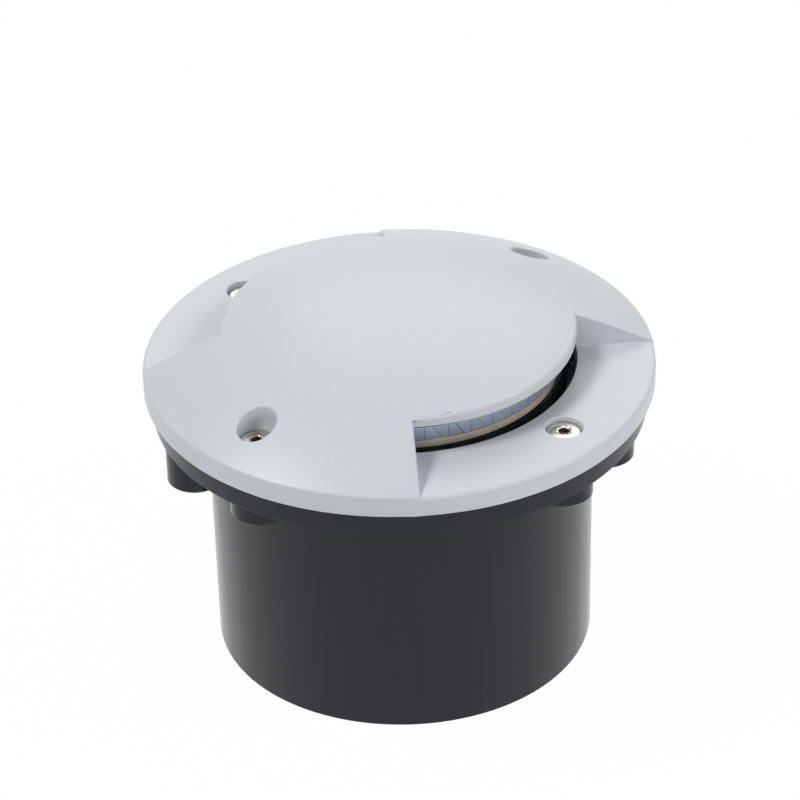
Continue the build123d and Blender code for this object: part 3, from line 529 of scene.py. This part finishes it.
def divided(work, edge, lengths):
    """Splits an edge of a mesh under construction into equal lengths."""
    for left in range(lengths, 1, -1):
        edge = bmesh.utils.edge_split(edge, edge.verts[0], 1 / left)[0]


def softened(node, name, finish, width, steps=2, share=None, long_edges=None):
    """A welded copy of a CAD node with its edges rounded, which stands for it.

    `share` gives how much of the width an edge takes, from the place of its middle in millimetres.
    `long_edges` picks the edges that are divided first, so that their rounding can run out.
    Faces with many corners are triangulated, because a ring-shaped one would close over its hole.
    """
    weld, flat_angle, sharp_angle = 0.002 * mm, math.radians(0.4), math.radians(24)
    many_corners, lengths = 40, 25
    mesh = frame["nodes"][node].data.copy()
    work = bmesh.new()
    work.from_mesh(mesh)
    bmesh.ops.remove_doubles(work, verts=work.verts, dist=weld)
    bmesh.ops.dissolve_limit(work, angle_limit=flat_angle, verts=work.verts, edges=work.edges)
    if long_edges:
        for edge in [edge for edge in work.edges if long_edges(*(end.co / mm for end in edge.verts))]:
            divided(work, edge, lengths)
    wide = [face for face in work.faces if len(face.verts) > many_corners]
    bmesh.ops.triangulate(work, faces=wide, quad_method="BEAUTY", ngon_method="BEAUTY")
    weights = work.edges.layers.float.new("bevel_weight_edge")
    for edge in work.edges:
        if edge.calc_face_angle(0) > sharp_angle:
            middle = (edge.verts[0].co + edge.verts[1].co) / (2 * mm)
            edge[weights] = share(middle) if share else 1.0
    for face in work.faces:
        face.smooth = True
    work.to_mesh(mesh)
    work.free()
    piece = bpy.data.objects.new(name, mesh)
    scene.collection.objects.link(piece)
    mesh.materials.clear()
    mesh.materials.append(finish)
    rounding = piece.modifiers.new("rounding", "BEVEL")
    rounding.limit_method = "WEIGHT"
    rounding.width, rounding.segments = width * mm, steps
    rounding.use_clamp_overlap = False
    rounding.miter_outer = "MITER_ARC"
    shading = piece.modifiers.new("shading", "WEIGHTED_NORMAL")
    shading.mode, shading.weight, shading.keep_sharp = "FACE_AREA", 50, False
    settle(piece)
    fit_out(piece, node)
    return piece


def on_side_wall(place):
    """Whether a place is on one of the four side walls of the recesses."""
    return abs(abs(place.x) - abs(place.y)) < 0.02


def is_wall_edge(first, second):
    """Whether an edge is one of the long edges of a recess's side wall."""
    least_length, least_z = 10, 85
    long_enough = (first - second).length > least_length
    high_enough = min(first.z, second.z) > least_z
    return on_side_wall(first) and on_side_wall(second) and long_enough and high_enough


def cover_share(place):
    """How rounded the cover's edges are: little at the pockets, running out where the walls meet the rim."""
    pocket_reach, pocket_share = 7.0, 0.35
    run_out_start, run_out_end, least_share = 68.0, 72.2, 0.05
    rim_start = 71.2
    radius = place.xy.length
    along, across = max(abs(place.x), abs(place.y)), min(abs(place.x), abs(place.y))
    above = place.z > pocket_floor_z
    if math.hypot(along - screw_circle_radius, across) < pocket_reach and above:
        return pocket_share
    if on_side_wall(place) and radius > run_out_start:
        return max(least_share, min(1.0, (run_out_end - radius) / (run_out_end - run_out_start)))
    return 0.0 if radius > rim_start and above else 1.0


def shade_dome(piece):
    """Gives every corner on the dome the sphere's own normal."""
    mesh = piece.data
    centre, slack, least_match = Vector((0, 0, dome_centre_z * mm)), 0.004 * mm, 0.8
    normals = [corner.vector.copy() for corner in mesh.corner_normals]
    for loop in mesh.loops:
        spoke = mesh.vertices[loop.vertex_index].co - centre
        on_sphere = abs(spoke.length - dome_radius * mm) < slack
        if on_sphere and spoke.normalized().dot(normals[loop.index]) > least_match:
            normals[loop.index] = spoke.normalized()
    mesh.normals_split_custom_set(normals)


def ring_spots(radius, height, turns):
    """Points in millimetres round a circle about the Z axis, or the one point on the axis."""
    if radius < 1e-6:
        return [Vector((0, 0, height))]
    angles = [2 * math.pi * step / turns for step in range(turns)]
    return [Vector((radius * math.cos(angle), radius * math.sin(angle), height)) for angle in angles]


def turned(name, outline, turns):
    """Mesh of a closed outline of (radius, height) points in millimetres, turned about the Z axis."""
    work = bmesh.new()
    rings = [[work.verts.new(spot * mm) for spot in ring_spots(*point, turns)] for point in outline]
    for lower, upper in zip(rings, rings[1:] + rings[:1]):
        for step in range(turns):
            after = (step + 1) % turns
            corners = [lower[step % len(lower)], lower[after % len(lower)]]
            corners += [upper[after % len(upper)], upper[step % len(upper)]]
            corners = list(dict.fromkeys(corners))
            if len(corners) > 2:
                work.faces.new(corners)
    bmesh.ops.recalc_face_normals(work, faces=work.faces)
    for face in work.faces:
        face.smooth = True
    mesh = bpy.data.meshes.new(name)
    work.to_mesh(mesh)
    work.free()
    return mesh


def rounded(points, radii, steps):
    """Outline through the points with its corners rounded by the radii, one for each point."""
    outline = []
    count = len(points)
    for index, (point, radius) in enumerate(zip(points, radii)):
        corner = Vector((*point, 0))
        before = (Vector((*points[index - 1], 0)) - corner).normalized()
        after = (Vector((*points[(index + 1) % count], 0)) - corner).normalized()
        if radius <= 0:
            outline.append(point)
            continue
        half = before.angle(after) / 2
        reach = radius / math.tan(half)
        middle = corner + (before + after).normalized() * radius / math.sin(half)
        first, last = corner + before * reach - middle, corner + after * reach - middle
        for step in range(steps + 1):
            spot = middle + first.slerp(last, step / steps)
            outline.append((spot.x, spot.y))
    return outline


class Plan:
    """A Geometry Nodes tree under construction. Its named inputs hold its sizes, counts and pieces."""

    def __init__(self, name, **sizes):
        self.tree = bpy.data.node_groups.new(name, "GeometryNodeTree")
        self.tree.interface.new_socket("Geometry", in_out="OUTPUT", socket_type="NodeSocketGeometry")
        kinds = {
            int: "NodeSocketInt",
            float: "NodeSocketFloat",
            bpy.types.Object: "NodeSocketObject",
            bpy.types.Material: "NodeSocketMaterial",
        }
        self.values = {}
        for key, value in sizes.items():
            kind = kinds[type(value)]
            socket = self.tree.interface.new_socket(key, in_out="INPUT", socket_type=kind)
            self.values[socket.identifier] = value
        self.entry = self.tree.nodes.new("NodeGroupInput")
        self.exit = self.tree.nodes.new("NodeGroupOutput")

    def size(self, key):
        return self.entry.outputs[key]

    def add(self, kind, settings=None, sockets=None, output=0):
        node = self.tree.nodes.new(kind)
        for key, value in (settings or {}).items():
            setattr(node, key, value)
        for key, value in (sockets or {}).items():
            socket = find_socket(node.inputs, key)
            if isinstance(value, bpy.types.NodeSocket):
                self.tree.links.new(value, socket)
            else:
                socket.default_value = value
        return node.outputs[output] if isinstance(output, int) else find_socket(node.outputs, output)

    def math(self, operation, *values):
        sockets = dict(zip(("Value", "Value_001", "Value_002"), values))
        return self.add("ShaderNodeMath", {"operation": operation}, sockets)

    def build(self, name, geometry):
        """Realizes the geometry, gives it the material input, and returns it as a plain mesh piece."""
        real = self.add("GeometryNodeRealizeInstances", None, {"Geometry": geometry})
        done = self.add("GeometryNodeSetMaterial", None, {"Geometry": real, "Material": self.size("Finish")})
        self.tree.links.new(done, self.exit.inputs["Geometry"])
        piece = bpy.data.objects.new(name, bpy.data.meshes.new(name))
        scene.collection.objects.link(piece)
        work = piece.modifiers.new("work", "NODES")
        work.node_group = self.tree
        for identifier, value in self.values.items():
            work[identifier] = value
        settle(piece)
        return piece


def ring_of(name, mesh, finish, count, radius, height, first_angle):
    """Copies of a mesh stood round a circle, each turned to face outwards along its own X."""
    pattern = bpy.data.objects.new(name + "_pattern", mesh)
    scene.collection.objects.link(pattern)
    plan = Plan(
        name + "_plan",
        Count=count,
        Radius=radius * mm,
        Height=height * mm,
        First=math.radians(first_angle),
        Step=2 * math.pi / count,
        Pattern=pattern,
        Finish=finish,
    )
    index = plan.add("GeometryNodeInputIndex")
    turn = plan.math("MULTIPLY_ADD", index, plan.size("Step"), plan.size("First"))
    x = plan.math("MULTIPLY", plan.math("COSINE", turn), plan.size("Radius"))
    y = plan.math("MULTIPLY", plan.math("SINE", turn), plan.size("Radius"))
    place = plan.add("ShaderNodeCombineXYZ", None, {"X": x, "Y": y, "Z": plan.size("Height")})
    points = plan.add("GeometryNodePoints", None, {"Count": plan.size("Count"), "Position": place})
    shape = plan.add("GeometryNodeObjectInfo", None, {"Object": plan.size("Pattern")}, "Geometry")
    facing = plan.add("ShaderNodeCombineXYZ", None, {"Z": turn})
    rotation = plan.add("FunctionNodeEulerToRotation", None, {"Euler": facing})
    sockets = {"Points": points, "Instance": shape, "Rotation": rotation}
    piece = plan.build(name, plan.add("GeometryNodeInstanceOnPoints", None, sockets))
    bpy.data.objects.remove(pattern)
    return piece


def screw_outline(length, mouth_radius):
    """Half section of a cover screw seated at height 0, from the tip of its shank to its socket's mouth."""
    head_radius, land, shank_radius, chamfer = 4.75, 2.1, 2.5, 0.5
    crown_steps = 6
    outline = [(0, -length), (shank_radius - chamfer, -length), (shank_radius, chamfer - length)]
    outline += [(shank_radius, -0.3), (shank_radius + 0.25, 0)]
    outline += [(head_radius - 0.2, 0), (head_radius, 0.2), (head_radius, land - 0.3)]
    outline += [(head_radius - 0.05, land - 0.12), (head_radius - 0.17, land)]
    crown = screw_head_height - land
    crown_radius = (head_radius**2 + crown**2) / (2 * crown)
    start = head_radius - 0.3
    for step in range(1, crown_steps + 1):
        radius = start + (mouth_radius - start) * step / crown_steps
        outline.append((radius, screw_head_height - crown_radius + math.sqrt(crown_radius**2 - radius**2)))
    return outline


def low_head_screw(name, length):
    """Low crowned head seated at height 0, with a broken edge and a hexagon socket, on a plain shank."""
    apothem, depth, floor_dip, turns = 1.5, 1.6, 0.4, 48
    sixth = math.pi / 3
    outline = screw_outline(length, apothem / math.cos(sixth / 2) + 0.2)
    mouth_height = outline[-1][1]
    mesh = turned(name, outline + [(0, mouth_height)], turns)
    work = bmesh.new()
    work.from_mesh(mesh)
    hub = [vertex for vertex in work.verts if vertex.co.xy.length < 1e-7 and vertex.co.z > 0]
    bmesh.ops.delete(work, geom=hub, context="VERTS")
    mouth = [vertex for vertex in work.verts if abs(vertex.co.z - mouth_height * mm) < 1e-7]
    mouth.sort(key=lambda vertex: math.atan2(vertex.co.y, vertex.co.x))
    rings = [mouth]
    for scale, drop in ((1.0, 0.18), (0.98, depth - 0.1), (0.8, depth)):
        ring = []
        for vertex in mouth:
            angle = math.atan2(vertex.co.y, vertex.co.x)
            from_flat = (angle + sixth / 2) % sixth - sixth / 2
            radius = apothem / math.cos(from_flat) * scale
            spot = (radius * math.cos(angle), radius * math.sin(angle), mouth_height - drop)
            ring.append(work.verts.new([value * mm for value in spot]))
        rings.append(ring)
    tip = work.verts.new((0, 0, (mouth_height - depth - floor_dip) * mm))
    for step in range(turns):
        after = (step + 1) % turns
        for outer, inner in zip(rings, rings[1:]):
            work.faces.new((outer[step], outer[after], inner[after], inner[step]))
        work.faces.new((rings[-1][step], rings[-1][after], tip))
    bmesh.ops.recalc_face_normals(work, faces=work.faces)
    for face in work.faces:
        face.smooth = True
    work.to_mesh(mesh)
    work.free()
    mesh.set_sharp_from_angle(angle=math.radians(38))
    return mesh


def make_cover_screws(finish):
    """The four captive cover screws, two in the recesses and two longer ones in the domed quarters."""
    recess = ("recess", 12.0, recess_head_top, 0.0)
    dome = ("dome", 16.0, dome_head_top, 90.0)
    for quarter, length, head_top, first_angle in (recess, dome):
        screw = low_head_screw(quarter + "_screws_body", length)
        seat = head_top - screw_head_height
        piece = ring_of(quarter + "_bolts", screw, finish, 2, screw_circle_radius, seat, first_angle)
        fit_out(piece, quarter + "_screws")


def make_lens(finish):
    """Clear drum with a rounded shoulder and a flat foot."""
    outside, inside, foot_radius = 47.4, 44.9, 48.7
    foot, foot_top, ceiling, top = 79.8, 81.6, 94.2, 96.2
    points = [(0, ceiling), (inside, ceiling), (inside, foot), (foot_radius, foot)]
    points += [(foot_radius, foot_top), (outside, foot_top), (outside, top), (0, top)]
    radii = [0, 0.8, 0, 0, 0.2, 0.3, 1.1, 0]
    mesh = turned("lens", rounded(points, radii, 6), 192)
    mesh.set_sharp_from_angle(angle=math.radians(35))
    mesh.materials.append(finish)
    lens = bpy.data.objects.new("lens", mesh)
    scene.collection.objects.link(lens)
    fit_out(lens, "lens_drum")


def block(name, size, bevel):
    """Small box in millimetres with its edges eased."""
    work = bmesh.new()
    bmesh.ops.create_cube(work, size=1.0)
    for vertex in work.verts:
        vertex.co = Vector([share * side * mm for share, side in zip(vertex.co, size)])
    bmesh.ops.bevel(work, geom=work.edges, offset=bevel * mm, segments=1, affect="EDGES", profile=0.5)
    mesh = bpy.data.meshes.new(name)
    work.to_mesh(mesh)
    work.free()
    return mesh


def make_reflector_marks(finish):
    """Thin upright dividers at an even pitch on the reflector, behind the lens."""
    radius, middle_z, first_angle = 44.22, 91.5, 2.4
    mark = block("divider", (0.10, 0.16, 3.9), 0.03)
    marks = ring_of("reflector_dividers", mark, finish, reflector_facets, radius, middle_z, first_angle)
    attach(marks, "lamp_unit")


place_camera()
make_stage()
for lamp in lamps:
    add_lamp(*lamp)

anodised = dark_anodised()
cover = softened("cover", "cover_casting", powder_coat(), 0.33, 3, cover_share, is_wall_edge)
shade_dome(cover)
softened("mounting_sleeve", "sleeve_moulding", dark_moulding(), 0.15)
softened("lamp_housing", "housing_casting", lacquer("housing_coat", (0.02, 0.02, 0.022)), 0.25)
make_cover_screws(screw_steel())
make_lens(clear_lens())
make_reflector_marks(anodised)
use(lacquer("ring_lacquer", (0.04, 0.05, 0.07)), "lens_clamp_ring")
use(stainless(), "clamp_screws", "carrier_screws", "board_screws")
use(brass(), "threaded_inserts")
use(rubber(), "cover_gasket", "housing_gasket", "lens_seal", "gland_seal", "screw_seals")
use(thermal_pad(), "thermal_pad")
use(anodised, "light_carrier")
use(rolled_reflector(), "reflector_ring")
use(strip_film(), "light_strip_left", "light_strip_right")
use(phosphor(), "phosphor_left", "phosphor_right")
use(sheath(), "strip_leads")
use(circuit_board(), "driver_board")
use(moulded("component_black", (0.012, 0.012, 0.013), (0.022, 0.022, 0.024)), "driver_components")
use(moulded("terminal_green", (0.02, 0.16, 0.06), (0.03, 0.2, 0.08)), "terminal_block")
nylon = moulded("gland_nylon", (0.014, 0.014, 0.015), (0.02, 0.02, 0.022))
use(nylon, "gland_body", "gland_locknut", "gland_nut", "pressure_vent")

scene.view_settings.view_transform = "Standard"
